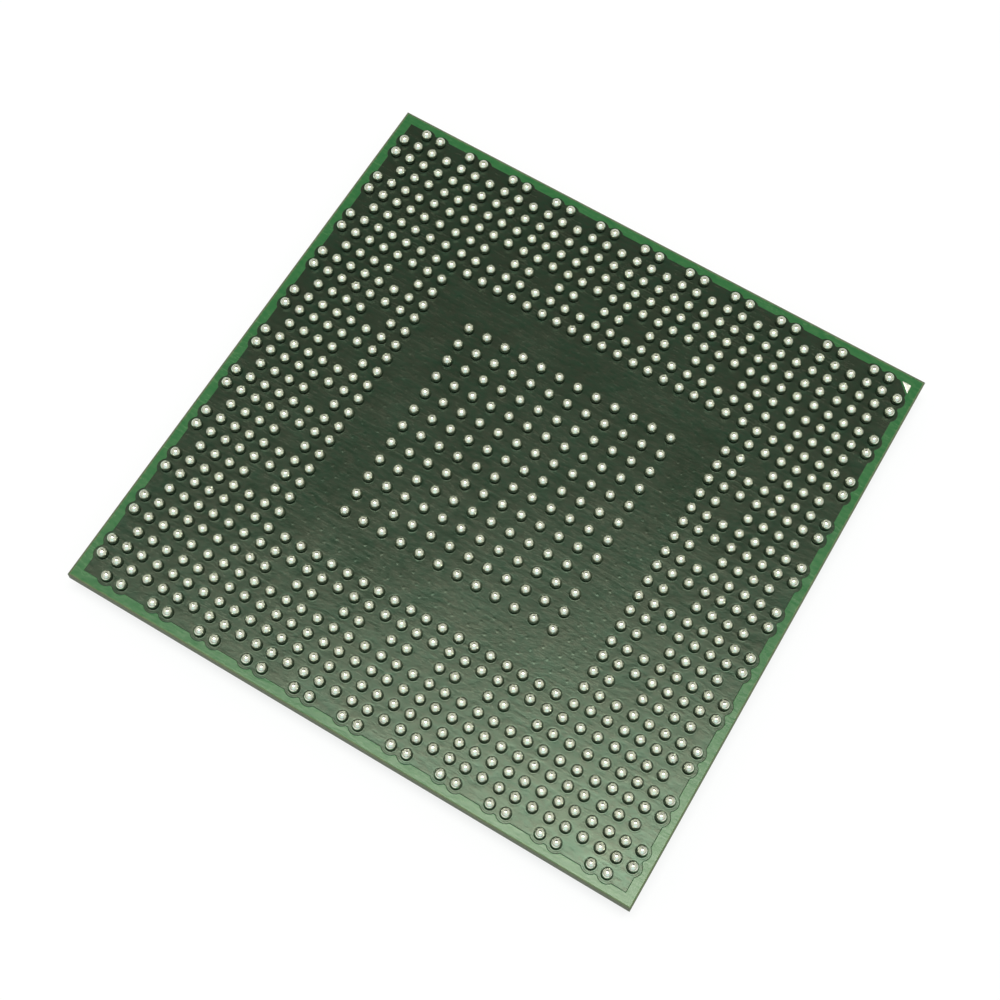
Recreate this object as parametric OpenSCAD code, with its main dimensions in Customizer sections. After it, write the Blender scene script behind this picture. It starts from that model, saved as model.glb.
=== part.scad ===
// Flip-chip ball grid array package, lying on the back of its die with the ball side up.
// Millimetres. The origin is the centre of the die's back face, and +Z points out of the ball side.
// The outer rows of balls follow a repeating pair-and-single pattern round a square, and a plain
// square array fills the centre.

/* [Ball map] */
// Distance between the two balls of a pair, and between most rows
ball_pitch = 0.8; // [0.78:0.01:0.9]
// Repeat length of one pair and one single ball along a side
group_pitch = 2.5; // [2.4:0.05:3]
// Pairs along each side
pairs = 11; // [9:1:13]
// Rows in the outer band
rows = 8; // [7:1:9]
// Row that has some of its single balls left out, counted from 0 at the outside
thin_row = 5; // [4:1:6]
// Distance between the thinned row and each of its neighbours
thin_row_pitch = 0.85; // [0.8:0.01:0.95]
// Single balls left out in the middle of each side of the thinned row, an even number
thin_gaps = 6; // [2:2:8]
// Rows and columns of the centre array
centre_rows = 12; // [8:1:13]
// Pitch of the centre array
centre_pitch = 1; // [0.85:0.01:1.1]

/* [Solder balls] */
// Largest diameter of a soldered ball
ball_d = 0.52; // [0.46:0.01:0.6]
// Circle where a ball is soldered to its pad
seat_d = 0.38; // [0.32:0.01:0.42]
// Copper pad under a ball, partly covered by the mask
pad_d = 0.6; // [0.5:0.01:0.64]
// Etched gap between a pad and the copper plane
pad_gap = 0.06; // [0.04:0.005:0.065]
// Copper kept round the outermost pads, where they reach past the plane's edge
collar_w = 0.04; // [0.03:0.005:0.08]
// Depth of the dip in the mask over an etched gap
mask_dip = 0.011; // [0.005:0.001:0.018]

/* [Substrate] */
// Outermost ball centres to the edge of the body
edge_margin = 0.8; // [0.7:0.05:1.5]
// Thickness of the laminate
laminate_t = 0.5; // [0.3:0.05:1.2]
// Thickness of the outer copper
copper_t = 0.018; // [0.012:0.001:0.02]
// Thickness of the solder mask
mask_t = 0.022; // [0.022:0.001:0.04]
// Copper plane set back from the edge of the body
plane_setback = 0.57; // [0.4:0.01:0.7]
// Solder mask set back from the edge of the body
mask_setback = 0.05; // [0.02:0.01:0.15]

/* [Corner marker] */
// Short sides of the triangular marker at the first ball's corner
marker_leg = 0.5; // [0.4:0.01:0.7]
// Right angle of the marker to the edges of the body
marker_inset = 0.5; // [0.35:0.01:0.55]
// Height of the marker's solder coat above the laminate
marker_t = 0.05; // [0.042:0.001:0.1]
// Gap between the marker and the copper plane
marker_gap = 0.1; // [0.06:0.01:0.2]

/* [Die] */
// Length of the die along X
die_x = 11.2; // [9:0.1:13]
// Length of the die along Y
die_y = 10.4; // [9:0.1:13]
// Thickness of the die
die_t = 0.78; // [0.6:0.01:0.9]
// Gap between the die and the substrate
bump_gap = 0.07; // [0.05:0.005:0.1]
// Diameter of a bump between the die and the substrate
bump_d = 0.12; // [0.08:0.01:0.2]
// Pitch of the bumps
bump_pitch = 0.6; // [0.5:0.05:1]
// Outermost bumps to the edge of the die
bump_margin = 0.5; // [0.3:0.05:1]
// Reach of the underfill beyond the die
fillet_reach = 1.1; // [0.6:0.1:1.5]
// Height that the underfill climbs from the substrate
fillet_h = 0.48; // [0.3:0.01:0.55]

/* [Capacitors] */
// Capacitors along each side of the die
caps_per_side = 4; // [2:1:4]
// Distance between capacitors along a side
cap_pitch = 2.6; // [2:0.1:2.9]
// Edge of the die to the middle of a capacitor
cap_offset = 2.5; // [2.2:0.1:4]
// Length of a capacitor over its end caps
cap_l = 1; // [0.8:0.05:1.3]
// Width of a capacitor over its end caps
cap_w = 0.5; // [0.4:0.05:0.7]
// Height of a capacitor over its end caps
cap_h = 0.5; // [0.3:0.01:0.6]
// Length of an end cap
end_l = 0.25; // [0.15:0.01:0.3]
// Plating thickness of an end cap
end_t = 0.02; // [0.01:0.005:0.04]
// Solder pad beyond the end of a capacitor
cap_pad_reach = 0.2; // [0.1:0.01:0.3]
// Solder between an end cap and its pad
cap_solder_t = 0.02; // [0.01:0.005:0.05]

/* [Hidden] */
// Counts, whole whatever value they are given.
pair_count = round(pairs);
row_count = round(rows);
thin_at = round(thin_row);
gap_count = round(thin_gaps);
centre_count = round(centre_rows);
cap_count = round(caps_per_side);

ball_fn = 24;
fit_gap = 0.005;

// Places along a side of the outer band: a lone ball at each end, then pairs with singles between.
places = 3 * pair_count + 1;
last = places - 1;
mid_place = last / 2;
outer_row = (pair_count - 1) / 2 * group_pitch + 1.5 * ball_pitch;
body_w = 2 * (outer_row + edge_margin);
body_half = body_w / 2;

// Heights, from the back of the die to the tops of the balls.
mask_low_z = die_t + bump_gap;
laminate_z = mask_low_z + mask_t;
copper_z = laminate_z + laminate_t;
pad_z = copper_z + copper_t;
mask_top_z = pad_z + mask_t;

// A ball is a sphere cut flat at its seat, and the mask opening clears its section at the mask's top.
ball_rise = sqrt(pow(ball_d / 2, 2) - pow(seat_d / 2, 2));
section_r = sqrt(pow(ball_d / 2, 2) - pow(ball_rise - mask_t, 2));
mask_open_d = 2 * (section_r + fit_gap);
antipad_d = pad_d + 2 * pad_gap;

// The copper plane and its mask.
plane_half = body_half - plane_setback;
mask_half = body_half - mask_setback;
marker_corner = body_half - marker_inset;
marker_cut = 2 * marker_corner - marker_leg - marker_gap * sqrt(2);

// The end caps wrap the ceramic, so the ceramic is smaller by their plating.
cap_top_z = laminate_z - copper_t - cap_solder_t;
cap_pad_l = end_l + cap_pad_reach;
cap_fillet_h = 0.4 * cap_h;
curve_steps = 8;
fillet_lip = 0.03;

// Distance from the centre to row k.
function row_depth(k) =
    outer_row - k * ball_pitch - min(max(k - thin_at + 1, 0), 2) * (thin_row_pitch - ball_pitch);

// Distance from the middle of a side to place i.
function place_along(i) =
    i == 0 ? -outer_row
    : i == last ? outer_row
    : i % 3 == 0 ? (i / 3 - pair_count / 2) * group_pitch
    : (floor(i / 3) - (pair_count - 1) / 2) * group_pitch + (i % 3 == 1 ? -0.5 : 0.5) * ball_pitch;

function is_single(i) = i % 3 == 0;

// The outermost row keeps only its pairs, and the thinned row drops its middle singles.
function has_ball(k, i) =
    !(k == 0 && is_single(i))
    && !(k == thin_at && is_single(i) && abs(i - mid_place) < 1.5 * gap_count);

// Row k, one side after the other: each side starts at its own corner and stops before the next.
function row_places(k) = [
    for (turn = [0 : 3])
        for (i = [k : last - k - 1])
            if (has_ball(k, i))
                turned([i == k ? -row_depth(k) : place_along(i), -row_depth(k)], turn)
];

function turned(p, turn) =
    turn == 0 ? p : turned([-p.y, p.x], turn - 1);

function centre_places() = let (mid = (centre_count - 1) / 2) [
    for (i = [0 : centre_count - 1])
        for (j = [0 : centre_count - 1])
            [(i - mid) * centre_pitch, (j - mid) * centre_pitch]
];

all_places = concat([for (k = [0 : row_count - 1]) each row_places(k)], centre_places());

module at_balls(places_list) {
    for (p = places_list)
        translate([p.x, p.y, 0])
            children();
}

module spots(d) {
    for (p = all_places)
        translate(p)
            circle(d = d, $fn = ball_fn);
}

// ---- substrate ----

module laminate() {
    color("darkolivegreen")
        translate([-body_half, -body_half, laminate_z])
            cube([body_w, body_w, laminate_t]);
}

// Outline of the copper plane: a square cut across the marked corner, with a collar round each
// of the outermost pads.
module plane_outline(grow = 0) {
    h = plane_half + grow;
    cut = marker_cut + grow * sqrt(2) - h;
    polygon([[-h, -h], [h, -h], [h, cut], [cut, h], [-h, h]]);
    for (p = row_places(0))
        translate(p)
            circle(d = antipad_d + 2 * (collar_w + grow), $fn = ball_fn);
}

module marker_outline(grow = 0) {
    tip = marker_corner + grow;
    leg = marker_leg + grow * (2 + sqrt(2));
    polygon([[tip, tip], [tip - leg, tip], [tip, tip - leg]]);
}

module copper_plane() {
    color("saddlebrown")
        translate([0, 0, copper_z])
            linear_extrude(copper_t)
                difference() {
                    plane_outline();
                    spots(antipad_d);
                }
}

module ball_pads() {
    color("peru")
        translate([0, 0, copper_z])
            at_balls(all_places)
                cylinder(d = pad_d, h = copper_t, $fn = ball_fn);
}

module corner_marker() {
    color("lightgoldenrodyellow")
        translate([0, 0, copper_z])
            linear_extrude(marker_t)
                marker_outline();
}

// Ring cut from the top of the mask over the etched gap round a pad.
module dip_ring() {
    rotate_extrude($fn = ball_fn)
        polygon([[pad_d / 2, 0], [antipad_d / 2, 0], [(pad_d + pad_gap) / 2, -mask_dip]]);
}

// The mask lies on the copper, dips over the etched gap round each pad, and steps down past the
// edge of the plane to the bare laminate.
module ball_side_mask() {
    color("seagreen")
        translate([0, 0, copper_z])
            difference() {
                union() {
                    linear_extrude(mask_t)
                        square(2 * mask_half, center = true);
                    linear_extrude(copper_t + mask_t)
                        plane_outline(mask_t);
                }
                linear_extrude(copper_t)
                    plane_outline();
                linear_extrude(2 * (copper_t + mask_t)) {
                    marker_outline(fit_gap);
                    spots(mask_open_d);
                }
                translate([0, 0, copper_t + mask_t])
                    at_balls(all_places)
                        dip_ring();
            }
}

// ---- solder balls ----

module solder_ball() {
    rotate_extrude($fn = ball_fn)
        intersection() {
            translate([0, ball_rise])
                circle(d = ball_d, $fn = ball_fn);
            square([ball_d, ball_d]);
        }
}

module balls_row(k) {
    color("gainsboro")
        translate([0, 0, pad_z])
            at_balls(row_places(k))
                solder_ball();
}

module balls_centre() {
    color("gainsboro")
        translate([0, 0, pad_z])
            at_balls(centre_places())
                solder_ball();
}

// ---- die side ----

function bump_count(length) = floor((length - 2 * bump_margin) / bump_pitch) + 1;

module at_bumps() {
    nx = bump_count(die_x);
    ny = bump_count(die_y);
    for (i = [0 : nx - 1])
        for (j = [0 : ny - 1])
            translate([(i - (nx - 1) / 2) * bump_pitch, (j - (ny - 1) / 2) * bump_pitch])
                children();
}

// One child for each capacitor, with X along the capacitor and the die on the +Y side.
module at_capacitors() {
    for (side = [0 : 3])
        rotate(90 * side)
            for (i = [0 : cap_count - 1])
                translate([(i - (cap_count - 1) / 2) * cap_pitch,
                           -(side % 2 == 0 ? die_y : die_x) / 2 - cap_offset])
                    children();
}

// One child for each end of a capacitor, with the end face towards +X.
module at_cap_ends() {
    at_capacitors()
        for (end = [0, 180])
            rotate(end)
                translate([cap_l / 2, 0])
                    children();
}

module cap_pad_outline(grow = 0) {
    translate([-end_l - grow, -cap_w / 2 - grow])
        square([cap_pad_l + 2 * grow, cap_w + 2 * grow]);
}

module die_side_mask() {
    color("seagreen")
        translate([0, 0, mask_low_z])
            linear_extrude(mask_t)
                difference() {
                    square(2 * mask_half, center = true);
                    at_bumps()
                        circle(d = bump_d + 2 * fit_gap, $fn = ball_fn);
                    at_cap_ends()
                        cap_pad_outline(fit_gap);
                }
}

module silicon_die() {
    color("dimgray")
        translate([-die_x / 2, -die_y / 2, 0])
            cube([die_x, die_y, die_t]);
}

module die_bumps() {
    color("silver")
        translate([0, 0, die_t])
            at_bumps()
                cylinder(d = bump_d, h = laminate_z - die_t, $fn = ball_fn);
}

// Section of the underfill's meniscus: x runs out from the die and y down from the substrate.
module meniscus() {
    curve = [for (s = [0 : curve_steps])
        let (t = s / curve_steps)
            [fillet_reach * (1 - t), -fillet_lip - (fillet_h - fillet_lip) * pow(t, 1.8)]];
    polygon(concat([[0, 0], [fillet_reach, 0]], curve));
}

// The bonding layer between die and substrate, with its meniscus round the die.
module underfill() {
    color("darkgoldenrod") {
        translate([0, 0, die_t])
            linear_extrude(bump_gap)
                difference() {
                    square([die_x, die_y], center = true);
                    at_bumps()
                        circle(d = bump_d + 2 * fit_gap, $fn = ball_fn);
                }
        for (side = [0 : 3]) {
            run = side % 2 == 0 ? die_x : die_y;
            off = side % 2 == 0 ? die_y : die_x;
            rotate(90 * side)
                translate([run / 2, -off / 2, mask_low_z]) {
                    rotate([90, 0, -90])
                        linear_extrude(run)
                            meniscus();
                    rotate(-90)
                        rotate_extrude(angle = 90, $fn = 48)
                            meniscus();
                }
        }
    }
}

// ---- capacitors ----

module capacitor_pads() {
    color("peru")
        translate([0, 0, laminate_z - copper_t])
            linear_extrude(copper_t)
                at_cap_ends()
                    cap_pad_outline();
}

// Ceramic block, hanging below the substrate between its end caps.
module cap_block(trim) {
    translate([-cap_l / 2 + trim, -cap_w / 2 + trim, cap_top_z - cap_h + trim])
        cube([cap_l - 2 * trim, cap_w - 2 * trim, cap_h - 2 * trim]);
}

module capacitor_bodies() {
    color("tan")
        at_capacitors()
            cap_block(end_t);
}

module capacitor_end_caps() {
    color("silver")
        at_capacitors()
            difference() {
                cap_block(0);
                cap_block(end_t);
                translate([-cap_l / 2 + end_l, -cap_w, cap_top_z - 2 * cap_h])
                    cube([cap_l - 2 * end_l, 2 * cap_w, 3 * cap_h]);
            }
}

// Solder under an end cap, rising in a hollow curve up its end face.
module solder_profile() {
    curve = [for (s = [0 : curve_steps])
        let (t = s / curve_steps)
            [cap_pad_reach * (1 - t), -cap_solder_t - cap_fillet_h * pow(t, 2)]];
    under = [[0, -cap_solder_t], [-end_l, -cap_solder_t], [-end_l, 0], [cap_pad_reach, 0]];
    polygon(concat(under, curve));
}

module capacitor_solder() {
    color("lightgray")
        at_cap_ends()
            translate([0, cap_w / 2, laminate_z - copper_t])
                rotate([90, 0, 0])
                    linear_extrude(cap_w)
                        solder_profile();
}

laminate();
copper_plane();
ball_pads();
corner_marker();
ball_side_mask();
for (k = [0 : row_count - 1])
    balls_row(k);
balls_centre();
die_side_mask();
silicon_die();
die_bumps();
underfill();
capacitor_pads();
capacitor_solder();
capacitor_bodies();
capacitor_end_caps();
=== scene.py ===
import math

import bpy
import bmesh
import numpy as np
from mathutils import Matrix, Quaternion, Vector
from mathutils.geometry import delaunay_2d_cdt


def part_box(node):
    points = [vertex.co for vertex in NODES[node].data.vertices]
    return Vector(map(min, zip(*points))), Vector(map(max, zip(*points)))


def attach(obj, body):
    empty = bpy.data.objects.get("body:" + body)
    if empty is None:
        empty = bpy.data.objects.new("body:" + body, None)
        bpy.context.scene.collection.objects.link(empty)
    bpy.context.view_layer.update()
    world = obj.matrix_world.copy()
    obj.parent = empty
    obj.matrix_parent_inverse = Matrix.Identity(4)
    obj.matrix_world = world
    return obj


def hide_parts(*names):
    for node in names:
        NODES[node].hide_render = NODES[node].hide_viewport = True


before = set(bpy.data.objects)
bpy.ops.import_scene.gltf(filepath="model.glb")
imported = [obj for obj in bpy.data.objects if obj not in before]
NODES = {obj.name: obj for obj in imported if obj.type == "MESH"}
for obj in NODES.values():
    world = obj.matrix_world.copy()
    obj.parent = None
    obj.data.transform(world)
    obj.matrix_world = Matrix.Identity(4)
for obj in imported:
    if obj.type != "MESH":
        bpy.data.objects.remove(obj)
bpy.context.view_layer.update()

MM = 0.001
BALL_NODES = sorted(n for n in NODES if n.startswith("balls_"))


# ---- measures taken from the frame ----

def node_points(name):
    mesh = NODES[name].data
    points = np.zeros(len(mesh.vertices) * 3)
    mesh.vertices.foreach_get("co", points)
    return points.reshape(-1, 3)


def ball_centres(name):
    """Centre of each ball in a node, from the highest point of each."""
    points = node_points(name)
    tops = points[points[:, 2] > points[:, 2].max() - 1e-7]
    return [tuple(p) for p in np.unique(np.round(tops[:, :2], 6), axis=0)]


CENTRES = [c for name in BALL_NODES for c in ball_centres(name)]
OUTER_REACH = max(max(abs(x), abs(y)) for x, y in CENTRES)
BALL_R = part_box("balls_row_1")[1].x - OUTER_REACH
PAD_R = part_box("ball_pads")[1].x - OUTER_REACH

LOW_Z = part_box("copper_plane")[0].z
PAD_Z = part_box("copper_plane")[1].z
TOP_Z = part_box("ball_side_mask")[1].z
MASK_T = TOP_Z - PAD_Z
EDGE_Z = LOW_Z + MASK_T
STEP_RISE = TOP_Z - EDGE_Z
MASK_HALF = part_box("ball_side_mask")[1].x
# The corners of the copper's square are its points that reach farthest along both axes
PLANE_HALF = float(np.abs(node_points("copper_plane"))[:, :2].min(axis=1).max())
COLLAR_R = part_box("copper_plane")[1].x - OUTER_REACH
MARKER_LO, MARKER_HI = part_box("corner_marker")

# The mask's opening over each ball, and its dip over the ring etched round each pad
OPEN_INSET = 0.046 * MM
OPEN_R = BALL_R - OPEN_INSET
OPEN_SEGMENTS = 18
LIP_DROP = 0.002 * MM
GROOVE_W = 0.06 * MM
GROOVE_DEPTH = 0.005 * MM

# The mask's step down at the copper's edge, and its rim at the laminate's edge
STEP_RUN = 0.035 * MM
RIM_RUN = 0.04 * MM
COLLAR_STEPS = 3

# The corner marker: its distance from the raised mask, its clearance in its own opening, and
# its soft edge. Its crown is pairs of an inset in mm and a share of its height.
MARKER_GAP = 0.1 * MM
MARKER_FIT = 0.005 * MM
MARKER_ROUND = 0.06 * MM
MARKER_CROWN = ((0, 0), (0, 0.6), (0.008, 0.8), (0.025, 0.93), (0.05, 0.98))

# Small bumps over vias, in the band that has no balls
VIA_PITCH = 0.85 * MM
VIA_R = 0.10 * MM
VIA_RISE = 0.0045 * MM
VIA_SHOULDER = (0.6, 0.75)  # shares of the radius and of the rise
VIA_SEGMENTS = 8
VIA_CLEAR = 0.5 * MM

SAME_PLACE = 0.01 * MM  # how near two balls' coordinates count as equal


# ---- small helpers ----

def link(data, name):
    made = bpy.data.objects.new(name, data)
    bpy.context.scene.collection.objects.link(made)
    return made


def turn_towards(made, direction, roll):
    """Turns the back of a camera or a light to a direction, and rolls it by some degrees."""
    made.rotation_mode = "QUATERNION"
    made.rotation_quaternion = (direction.to_track_quat("Z", "Y")
                                @ Quaternion((0, 0, 1), math.radians(roll)))


def new_material(name):
    material = bpy.data.materials.new(name)
    material.use_nodes = True
    tree = material.node_tree
    tree.nodes.clear()
    output = tree.nodes.new("ShaderNodeOutputMaterial")
    shader = tree.nodes.new("ShaderNodeBsdfPrincipled")
    tree.links.new(shader.outputs[0], output.inputs[0])
    return material, tree, shader


def add(tree, kind, inputs=None, **settings):
    """A node with its settings and its inputs, which are values or other nodes' outputs."""
    made = tree.nodes.new(kind)
    for key, value in settings.items():
        setattr(made, key, value)
    for key, value in (inputs or {}).items():
        if isinstance(value, bpy.types.NodeSocket):
            tree.links.new(value, made.inputs[key])
        else:
            made.inputs[key].default_value = value
    return made


def place(tree):
    return add(tree, "ShaderNodeTexCoord").outputs["Object"]


def height_of(tree, vector):
    return add(tree, "ShaderNodeSeparateXYZ", {0: vector}).outputs["Z"]


def noise(tree, vector, size, detail=3.0, rough=0.5, stretch=(1, 1, 1)):
    """Noise with features of about the given size in metres, stretched along the axes."""
    scale = [1 / (size * s) for s in stretch]
    mapped = add(tree, "ShaderNodeMapping", {"Vector": vector, "Scale": scale}).outputs[0]
    made = add(tree, "ShaderNodeTexNoise",
               {"Vector": mapped, "Scale": 1.0, "Detail": detail, "Roughness": rough})
    return made.outputs["Fac"]


def spread(tree, value, low, high, to_low=0.0, to_high=1.0):
    return add(tree, "ShaderNodeMapRange",
               {"Value": value, "From Min": low, "From Max": high,
                "To Min": to_low, "To Max": to_high}).outputs[0]


def math_node(tree, operation, a, b):
    return add(tree, "ShaderNodeMath", {0: a, 1: b}, operation=operation).outputs[0]


def mix_colour(tree, factor, a, b):
    made = tree.nodes.new("ShaderNodeMix")
    made.data_type = "RGBA"
    for index, value in ((0, factor), (6, a), (7, b)):
        if isinstance(value, bpy.types.NodeSocket):
            tree.links.new(value, made.inputs[index])
        else:
            made.inputs[index].default_value = value if index == 0 else (*value, 1)
    return made.outputs[2]


def bump(tree, height, distance, strength=1.0, normal=None):
    inputs = {"Height": height, "Distance": distance, "Strength": strength}
    if normal is not None:
        inputs["Normal"] = normal
    return add(tree, "ShaderNodeBump", inputs).outputs[0]


# ---- materials ----

COPPER_STARTS, COPPER_FULL = (EDGE_Z + share * STEP_RISE for share in (0.05, 0.55))
COPPER_SHOWING = (0.46, 0.58)
EDGE_FADE = 0.045 * MM
# Pale olive tone of the mask's cut edge, partly its own tone and partly a painted highlight
EDGE_TONE_AND_HIGHLIGHT = (0.15, 0.18, 0.08)
WARM_SOLDER = (0.74, 0.72, 0.58)
BLOTCH_SIZE, CLOUD_SIZE, STREAK_SIZE, SMEAR_SIZE = 1.3 * MM, 0.22 * MM, 0.5 * MM, 2.5 * MM


def mask_material(name, backed, bare):
    """Green solder mask. Copper shows dark through it, on bare laminate it is a clear green, and its
    cut edge gets a pale olive line, partly the edge's own tone and partly a painted highlight."""
    material, tree, shader = new_material(name)
    at = place(tree)
    over_copper = spread(tree, height_of(tree, at), COPPER_STARTS, COPPER_FULL)

    blotch = noise(tree, at, BLOTCH_SIZE, 4.0, 0.6)
    cloud = noise(tree, at, CLOUD_SIZE, 4.0, 0.65, (1.8, 0.8, 1.0))
    streaks = noise(tree, at, STREAK_SIZE, 4.0, 0.65, (6.0, 0.3, 1.0))
    copper_tone = mix_colour(tree, spread(tree, blotch, 0.35, 0.65), backed[0], backed[1])
    copper_tone = mix_colour(tree, spread(tree, cloud, 0.42, 0.66, 0.0, 0.7),
                             copper_tone, backed[2])
    bare_tone = mix_colour(tree, spread(tree, cloud, 0.35, 0.65), bare[0], bare[1])
    colour = mix_colour(tree, over_copper, bare_tone, copper_tone)
    apart = add(tree, "ShaderNodeVectorMath", {0: at}, operation="ABSOLUTE").outputs[0]
    sides = add(tree, "ShaderNodeSeparateXYZ", {0: apart}).outputs
    reach = math_node(tree, "MAXIMUM", sides["X"], sides["Y"])
    # Painted highlight, in part: a pale olive line along the cut edge, the edge's own tone made
    # lighter for the light it catches.
    ragged = math_node(tree, "ADD", reach, spread(tree, cloud, 0.3, 0.7, 0.0, EDGE_FADE))
    edge_line_and_highlight = spread(tree, ragged, MASK_HALF - EDGE_FADE, MASK_HALF + EDGE_FADE)
    colour = mix_colour(tree, edge_line_and_highlight, colour, EDGE_TONE_AND_HIGHLIGHT)
    tree.links.new(colour, shader.inputs["Base Color"])

    showing = spread(tree, math_node(tree, "ADD", blotch, cloud), 0.8, 1.2, *COPPER_SHOWING)
    tree.links.new(math_node(tree, "MULTIPLY", over_copper, showing), shader.inputs["Metallic"])

    smears = noise(tree, at, SMEAR_SIZE, 3.0)
    rough = math_node(tree, "ADD", spread(tree, smears, 0.3, 0.7, 0.20, 0.25),
                      spread(tree, streaks, 0.35, 0.65, -0.02, 0.03))
    rough = math_node(tree, "ADD", rough, spread(tree, cloud, 0.35, 0.65, -0.02, 0.04))
    tree.links.new(rough, shader.inputs["Roughness"])
    normal = bump(tree, blotch, 0.010 * MM, 1.0)
    normal = bump(tree, streaks, 0.002 * MM, 1.0, normal)
    normal = bump(tree, cloud, 0.005 * MM, 1.0, normal)
    tree.links.new(normal, shader.inputs["Normal"])
    shader.inputs["Specular Tint"].default_value = (0.98, 1.0, 0.82, 1)
    return material


def solder_material(name, tone, dull, roughness, size, foot_shade=None):
    """Solder with a fine grain, small dents and a tone that differs from piece to piece. Where
    given, painted shade darkens it from its foot up to a height, for shadow and dark reflections."""
    material, tree, shader = new_material(name)
    at = place(tree)
    each = add(tree, "ShaderNodeNewGeometry").outputs["Random Per Island"]
    grain = noise(tree, at, size, 3.0, 0.6)
    colour = mix_colour(tree, spread(tree, grain, 0.40, 0.75), tone, dull)
    colour = mix_colour(tree, spread(tree, each, 0, 1, 0.0, 0.25), colour, WARM_SOLDER)
    if foot_shade:
        # Painted shade: the ball is darkened from its foot up to a height, standing in for the shadow
        # and dark reflections low on a ball.
        low, high, foot_shade_tone = foot_shade
        colour = mix_colour(tree, spread(tree, height_of(tree, at), low, high, 1.0, 0.0), colour, foot_shade_tone)
    tree.links.new(colour, shader.inputs["Base Color"])
    shader.inputs["Metallic"].default_value = 1.0
    tree.links.new(spread(tree, grain, 0.3, 0.7, roughness - 0.03, roughness + 0.07),
                   shader.inputs["Roughness"])
    dents = noise(tree, at, size * 3, 1.0)
    normal = bump(tree, spread(tree, dents, 0.3, 0.42), 0.006 * MM, 0.5)
    normal = bump(tree, grain, 0.004 * MM, 0.25, normal)
    tree.links.new(normal, shader.inputs["Normal"])
    return material


def plain_material(name, tone, other, size, roughness, metallic=0.0, depth=0.002,
                   stretch=(1, 1, 1)):
    """Two tones in a noise of the given size, with a bump of the same grain."""
    material, tree, shader = new_material(name)
    at = place(tree)
    grain = noise(tree, at, size, 4.0, 0.6, stretch)
    colour = mix_colour(tree, spread(tree, grain, 0.3, 0.7), tone, other)
    tree.links.new(colour, shader.inputs["Base Color"])
    tree.links.new(spread(tree, grain, 0.3, 0.7, roughness - 0.05, roughness + 0.05),
                   shader.inputs["Roughness"])
    shader.inputs["Metallic"].default_value = metallic
    tree.links.new(bump(tree, grain, depth * MM, 0.6), shader.inputs["Normal"])
    return material


# ---- the ball-side mask with its relief ----

HULL_TRIANGLES = 0  # delaunay_2d_cdt's setting for triangles over the whole convex hull
SAME_POINT = 1e-7   # in mm


class Relief:
    """A mesh built from level loops of points, joined by bands and filled by triangles."""

    def __init__(self):
        self.points, self.faces, self.smooth = [], [], []

    def loop(self, outline, z):
        first = len(self.points)
        self.points += [(x, y, z) for x, y in outline]
        return list(range(first, len(self.points)))

    def band(self, a, b, smooth=True):
        for i in range(len(a)):
            j = (i + 1) % len(a)
            self.faces.append((a[i], a[j], b[j], b[i]))
            self.smooth.append(smooth)

    def cap(self, around, peak):
        self.points.append(peak)
        for i in range(len(around)):
            self.faces.append((around[i], around[(i + 1) % len(around)], len(self.points) - 1))
            self.smooth.append(True)

    def flat(self, loops):
        """Fills the level area inside the first loop and outside the others. A triangle whose
        corners are all on one loop is kept only if it is on the right side of that loop."""
        index = [i for loop in loops for i in loop]
        owner = {i: number for number, loop in enumerate(loops) for i in loop}
        flat_points = [Vector(self.points[i][:2]) / MM for i in index]
        edges, first = [], 0
        for loop in loops:
            edges += [(first + i, first + (i + 1) % len(loop)) for i in range(len(loop))]
            first += len(loop)
        found, _, triangles, origins, _, _ = delaunay_2d_cdt(
            flat_points, edges, [], HULL_TRIANGLES, SAME_POINT, True)
        source = [index[given[0]] for given in origins]
        for triangle in triangles:
            corners = [source[i] for i in triangle]
            owners = {owner[i] for i in corners}
            if len(owners) == 1:
                number = owners.pop()
                middle = sum((found[i] for i in triangle), Vector((0, 0))) / 3 * MM
                around = [self.points[i][:2] for i in loops[number]]
                if inside(middle, around) != (number == 0):
                    continue
            self.faces.append(corners)
            self.smooth.append(False)

    def mesh(self, name):
        mesh = bpy.data.meshes.new(name)
        mesh.from_pydata(self.points, [], self.faces)
        mesh.polygons.foreach_set("use_smooth", self.smooth)
        work = bmesh.new()
        work.from_mesh(mesh)
        bmesh.ops.recalc_face_normals(work, faces=work.faces)
        work.to_mesh(mesh)
        work.free()
        return mesh


def inside(point, outline):
    """Whether a point lies within a closed outline."""
    x, y = point
    within = False
    for (x0, y0), (x1, y1) in zip(outline, outline[1:] + outline[:1]):
        if (y0 > y) != (y1 > y) and x < (x1 - x0) * (y - y0) / (y1 - y0) + x0:
            within = not within
    return within


def ring(centre, radius, count):
    step = 2 * math.pi / count
    return [(centre[0] + radius * math.cos(i * step), centre[1] + radius * math.sin(i * step))
            for i in range(count)]


def square(half):
    return [(-half, -half), (half, -half), (half, half), (-half, half)]


def raised_outline(grow):
    """Raised part over the copper: a square with a collar round each outermost pad, cut
    across the corner that has the marker."""
    half, collar = PLANE_HALF + MASK_T + grow, COLLAR_R + MASK_T + grow
    swing = math.acos((half - OUTER_REACH) / collar)
    row = sorted(y for x, y in ball_centres("balls_row_1") if abs(x - OUTER_REACH) < SAME_PLACE)
    side = [(half, -half)]
    for y in row:
        for step in range(-COLLAR_STEPS, COLLAR_STEPS + 1):
            turn = swing * step / COLLAR_STEPS
            side.append((OUTER_REACH + collar * math.cos(turn), y + collar * math.sin(turn)))
    points = [tuple(Matrix.Rotation(quarter * math.pi / 2, 2) @ Vector(p))
              for quarter in range(4) for p in side]
    limit = MARKER_LO.x + MARKER_HI.x - (MARKER_GAP - grow) * math.sqrt(2)
    corner = points.index(max(points, key=sum))
    points[corner:corner + 1] = [(half, limit - half), (limit - half, half)]
    return points


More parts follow.
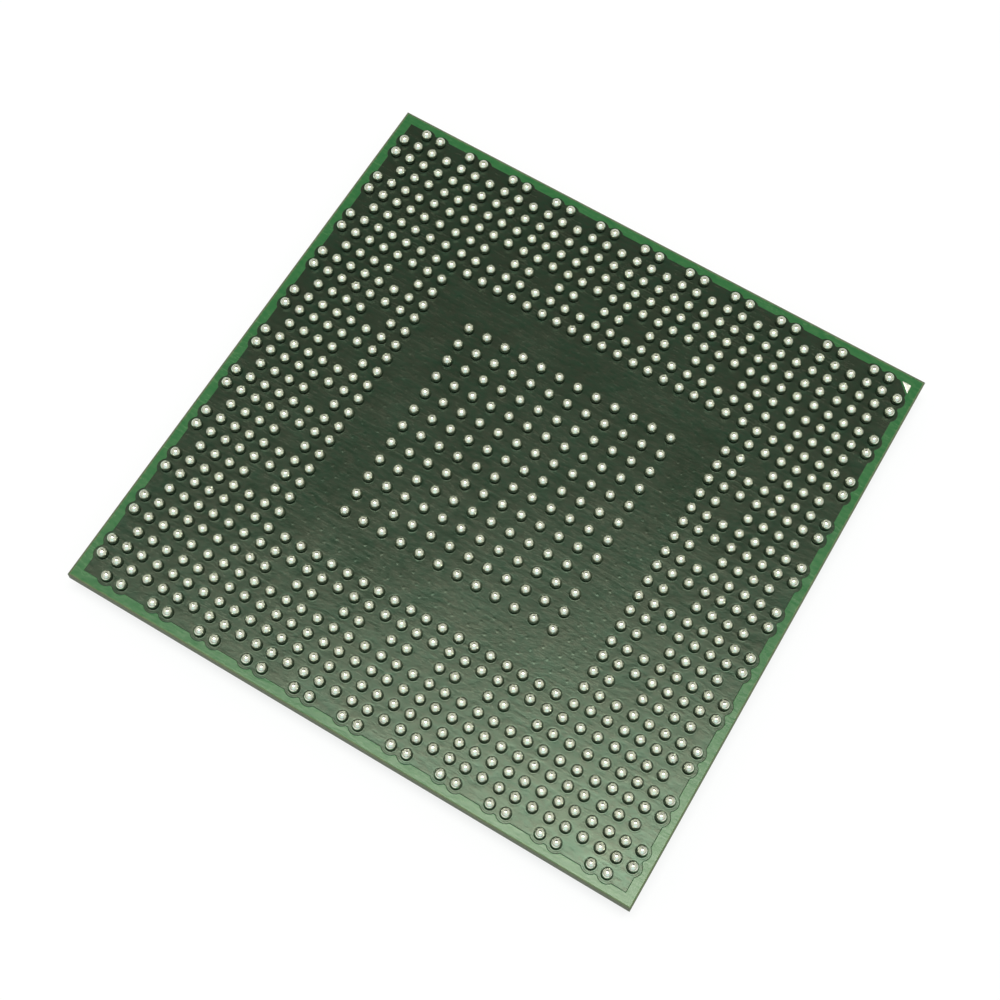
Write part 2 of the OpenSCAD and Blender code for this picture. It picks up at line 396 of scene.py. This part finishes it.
def marker_outline(grow):
    """The marker's right triangle, with each side moved out by the given length."""
    tip = MARKER_HI.x + grow
    leg = MARKER_HI.x - MARKER_LO.x + grow * (2 + math.sqrt(2))
    return [(tip, tip), (tip - leg, tip), (tip, tip - leg)]


def via_places():
    """Places of the vias under the mask, on a staggered grid in the band that has no balls."""
    inner = max(x for x, y in ball_centres("balls_centre")) + VIA_CLEAR
    outer = max(x for x, y in ball_centres("balls_row_8")) - VIA_CLEAR
    count = int(2 * outer / VIA_PITCH)
    places = []
    for i in range(-count, count + 1):
        for j in range(-count, count + 1):
            x, y = (i + 0.5 * (j % 2)) * VIA_PITCH, j * VIA_PITCH / 2
            if inner < max(abs(x), abs(y)) < outer:
                places.append((x, y))
    return places


def ball_side_mask():
    """Solder mask that opens over each ball, dips over the etched ring round each pad, rises
    over vias, and steps down past the copper's edge."""
    relief = Relief()
    tops, bottoms = [], []
    for centre in CENTRES:
        loops = [relief.loop(ring(centre, radius, OPEN_SEGMENTS), z) for radius, z in (
            (OPEN_R, PAD_Z),
            (OPEN_R, TOP_Z - LIP_DROP),
            (PAD_R, TOP_Z),
            (PAD_R + GROOVE_W / 2, TOP_Z - GROOVE_DEPTH),
            (PAD_R + GROOVE_W, TOP_Z))]
        for low, high in zip(loops, loops[1:]):
            relief.band(low, high)
        bottoms.append(loops[0])
        tops.append(loops[-1])
    shoulder_r, shoulder_z = VIA_R * VIA_SHOULDER[0], TOP_Z + VIA_RISE * VIA_SHOULDER[1]
    for via in via_places():
        foot = relief.loop(ring(via, VIA_R, VIA_SEGMENTS), TOP_Z)
        shoulder = relief.loop(ring(via, shoulder_r, VIA_SEGMENTS), shoulder_z)
        relief.band(foot, shoulder)
        relief.cap(shoulder, (*via, TOP_Z + VIA_RISE))
        tops.append(foot)
    crest = relief.loop(raised_outline(0), TOP_Z)
    foot = relief.loop(raised_outline(STEP_RUN), EDGE_Z)
    rim = relief.loop(square(MASK_HALF - RIM_RUN), EDGE_Z)
    rim_foot = relief.loop(square(MASK_HALF), LOW_Z)
    under = relief.loop(raised_outline(0), PAD_Z)
    under_foot = relief.loop(raised_outline(0), LOW_Z)
    marker = relief.loop(marker_outline(MARKER_FIT), EDGE_Z)
    marker_foot = relief.loop(marker_outline(MARKER_FIT), LOW_Z)
    relief.flat([crest] + tops)
    relief.band(crest, foot, False)
    relief.flat([rim, foot, marker])
    relief.band(rim, rim_foot, False)
    relief.band(marker, marker_foot, False)
    relief.flat([rim_foot, under_foot, marker_foot])
    relief.band(under_foot, under, False)
    relief.flat([under] + bottoms)
    piece = link(relief.mesh("solder_mask_relief"), "solder_mask_relief")
    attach(piece, "root")
    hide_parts("ball_side_mask")
    return piece


def rounded(outline, cut, steps=4):
    """An outline whose corners are replaced by curves that start the given length away."""
    points = []
    for i, corner in enumerate(outline):
        at = Vector(corner)
        start = at + (Vector(outline[i - 1]) - at).normalized() * cut
        end = at + (Vector(outline[(i + 1) % len(outline)]) - at).normalized() * cut
        for step in range(steps + 1):
            t = step / steps
            points.append(tuple(start * (1 - t) ** 2 + at * 2 * t * (1 - t) + end * t ** 2))
    return points


def corner_marker():
    """Tinned triangle with soft corners and a low crown."""
    relief = Relief()
    low, high = MARKER_LO.z, MARKER_HI.z
    loops = []
    for inset, rise in MARKER_CROWN:
        outline = rounded(marker_outline(-inset * MM), MARKER_ROUND)
        loops.append(relief.loop(outline, low + rise * (high - low)))
    for below, above in zip(loops, loops[1:]):
        relief.band(below, above)
    crest = [relief.points[i] for i in loops[-1]]
    relief.cap(loops[-1], (sum(x for x, _, _ in crest) / len(crest),
                           sum(y for _, y, _ in crest) / len(crest), high))
    relief.flat([loops[0]])
    piece = link(relief.mesh("marker_triangle"), "marker_triangle")
    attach(piece, "root")
    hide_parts("corner_marker")
    return piece


# ---- stage, camera and lights ----

FLOOR_SIZE = 1.2
FLOOR_GREY = 0.86
FLOOR_GLOW = 0.8


def floor():
    """A pale floor, which is clear from below and to shadow rays, so that the underside is lit
    and shows."""
    bpy.ops.mesh.primitive_plane_add(size=FLOOR_SIZE)
    made = bpy.context.object
    made.name = "floor"
    material, tree, shader = new_material("floor_white")
    shader.inputs["Base Color"].default_value = (FLOOR_GREY, FLOOR_GREY, FLOOR_GREY, 1)
    shader.inputs["Roughness"].default_value = 0.9
    rays = add(tree, "ShaderNodeLightPath")
    seen = math_node(tree, "MAXIMUM", rays.outputs["Is Camera Ray"],
                     math_node(tree, "MAXIMUM", rays.outputs["Is Glossy Ray"],
                               rays.outputs["Is Transmission Ray"]))
    glow = add(tree, "ShaderNodeEmission", {"Color": (1, 1, 1, 1), "Strength": 1.0})
    pale = add(tree, "ShaderNodeMixShader",
               {0: math_node(tree, "MULTIPLY", seen, FLOOR_GLOW), 1: shader.outputs[0],
                2: glow.outputs[0]})
    clear = add(tree, "ShaderNodeBsdfTransparent")
    passed = math_node(tree, "MAXIMUM", rays.outputs["Is Shadow Ray"],
                       add(tree, "ShaderNodeNewGeometry").outputs["Backfacing"])
    one_sided = add(tree, "ShaderNodeMixShader",
                    {0: passed, 1: pale.outputs[0], 2: clear.outputs[0]})
    output = next(n for n in tree.nodes if n.type == "OUTPUT_MATERIAL")
    tree.links.new(one_sided.outputs[0], output.inputs[0])
    made.data.materials.append(material)


AIM = Vector((0.263 * MM, -1.295 * MM, TOP_Z))
AZIMUTH, ELEVATION, ROLL = 26.350, 67.490, 4.666
DISTANCE = 82.720 * MM
LENS, SENSOR_WIDTH = 64.714, 36
CLIP_START, CLIP_END = 0.001, 10


def camera():
    data = bpy.data.cameras.new("camera")
    data.lens, data.sensor_width = LENS, SENSOR_WIDTH
    data.clip_start, data.clip_end = CLIP_START, CLIP_END
    made = link(data, "camera")
    a, e = math.radians(AZIMUTH), math.radians(ELEVATION)
    back = Vector((math.sin(a) * math.cos(e), -math.cos(a) * math.cos(e), math.sin(e)))
    made.location = AIM + back * DISTANCE
    turn_towards(made, back, ROLL)
    bpy.context.scene.camera = made


KEY = {"direction": (-0.030, 0.060, 1.0), "spin": 1, "distance": 0.80,
       "width": 0.48, "height": 0.24, "radiance": 12.0}


def softbox(name, direction, spin, distance, width, height, radiance):
    """An oblong area light in a direction from the object, spun by some degrees on its axis."""
    data = bpy.data.lights.new(name, "AREA")
    data.shape = "RECTANGLE"
    data.size, data.size_y = width, height
    data.energy = radiance * math.pi * width * height
    made = link(data, name)
    toward = Vector(direction).normalized()
    made.location = toward * distance
    turn_towards(made, toward, spin)


# The sky's strengths, where it rises from the horizon, and the patches in it. A patch fades in
# between two cosines of the angle from its middle.
SKY_LEVEL, HORIZON_LEVEL, FLAG_LEVEL, WINDOW_LEVEL = 0.78, 0.05, 0.10, 1.05
SKY_RISE = (0.08, 0.36)
FLAG_TOWARD = tuple(Vector((-0.20, 0.42, 0.885)).normalized())
FLAG_FADE = (0.80, 0.97)
WINDOW_TOWARD = tuple(Vector((0.36, -0.66, 0.66)).normalized())
WINDOW_FADE = (0.75, 0.95)
SKY_TINT = (1.0, 0.98, 0.90)
WINDOW_TINT = (0.74, 0.93, 1.0)


def sky():
    """An even sky that is dark near the horizon, with a dark flag that keeps the far half of
    the mask dark, and a brighter window on the near side. The camera sees white."""
    world = bpy.data.worlds.new("studio")
    bpy.context.scene.world = world
    world.use_nodes = True
    tree = world.node_tree
    tree.nodes.clear()
    out = tree.nodes.new("ShaderNodeOutputWorld")
    toward = add(tree, "ShaderNodeTexCoord").outputs["Generated"]
    height = height_of(tree, toward)
    level = spread(tree, height, *SKY_RISE, HORIZON_LEVEL, SKY_LEVEL)

    def patch(aim, fade, strength):
        dot = add(tree, "ShaderNodeVectorMath", {0: toward, 1: aim}, operation="DOT_PRODUCT")
        return spread(tree, dot.outputs["Value"], *fade, 0.0, strength)

    window = patch(WINDOW_TOWARD, WINDOW_FADE, 1.0)
    level = math_node(tree, "ADD", level, patch(FLAG_TOWARD, FLAG_FADE, FLAG_LEVEL - SKY_LEVEL))
    level = math_node(tree, "ADD", level,
                      math_node(tree, "MULTIPLY", window, WINDOW_LEVEL - SKY_LEVEL))
    tint = mix_colour(tree, window, SKY_TINT, WINDOW_TINT)
    rays = add(tree, "ShaderNodeLightPath")
    white = math_node(tree, "MAXIMUM", rays.outputs["Is Camera Ray"],
                      rays.outputs["Is Transmission Ray"])
    white = math_node(tree, "MAXIMUM", white, math_node(tree, "LESS_THAN", height, 0.0))
    lit = mix_colour(tree, white, tint, (1, 1, 1))
    level = spread(tree, white, 0, 1, level, 1.0)
    back = add(tree, "ShaderNodeBackground", {"Color": lit, "Strength": level})
    tree.links.new(back.outputs[0], out.inputs[0])


# ---- the object ----

def dress(name, material):
    mesh = NODES[name].data
    mesh.materials.clear()
    mesh.materials.append(material)


ball_mask = mask_material(
    "ball_side_mask_green",
    ((0.023, 0.053, 0.029), (0.034, 0.053, 0.031), (0.042, 0.050, 0.031)),
    ((0.022, 0.116, 0.036), (0.034, 0.136, 0.042)))
ball_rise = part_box("balls_row_1")[1].z - PAD_Z
# Heights of the painted shade on the balls' lower sides, and below, its dark tone
shade_low, shade_high = (PAD_Z + share * ball_rise for share in (0.34, 0.62))
solder_ball = solder_material("solder_balls", (0.80, 0.84, 0.71), (0.64, 0.70, 0.58), 0.17,
                              0.05 * MM, (shade_low, shade_high, (0.19, 0.25, 0.23)))
dress("laminate", plain_material("laminate_edge", (0.060, 0.078, 0.040), (0.095, 0.115, 0.062),
                                 0.25 * MM, 0.7, stretch=(3, 3, 0.15)))
copper = plain_material("etched_copper", (0.55, 0.27, 0.13), (0.45, 0.22, 0.10), 0.1 * MM, 0.4, 1.0)
for name in ("copper_plane", "ball_pads", "capacitor_pads"):
    dress(name, copper)
corner_marker().data.materials.append(
    solder_material("marker_solder", (0.80, 0.82, 0.70), (0.66, 0.68, 0.58), 0.45, 0.06 * MM))
ball_side_mask().data.materials.append(ball_mask)
dress("die_side_mask", ball_mask)
for name in BALL_NODES:
    dress(name, solder_ball)
for name in ("die_bumps", "capacitor_solder"):
    dress(name, solder_material(name + "_solder", (0.62, 0.62, 0.6), (0.5, 0.5, 0.48), 0.4,
                                0.05 * MM))
dress("silicon_die", plain_material("polished_silicon", (0.10, 0.11, 0.13), (0.09, 0.10, 0.12),
                                    0.5 * MM, 0.12, 0.6, 0.0003))
dress("underfill", plain_material("underfill_epoxy", (0.10, 0.07, 0.04), (0.14, 0.10, 0.06),
                                  0.2 * MM, 0.35))
dress("capacitor_bodies", plain_material("capacitor_ceramic", (0.36, 0.25, 0.17),
                                         (0.30, 0.20, 0.13), 0.05 * MM, 0.55))
dress("capacitor_end_caps", plain_material("tin_plating", (0.70, 0.70, 0.68), (0.6, 0.6, 0.57),
                                           0.05 * MM, 0.35, 1.0))

floor()
camera()
softbox("key", **KEY)
sky()
bpy.context.scene.view_settings.view_transform = "Standard"
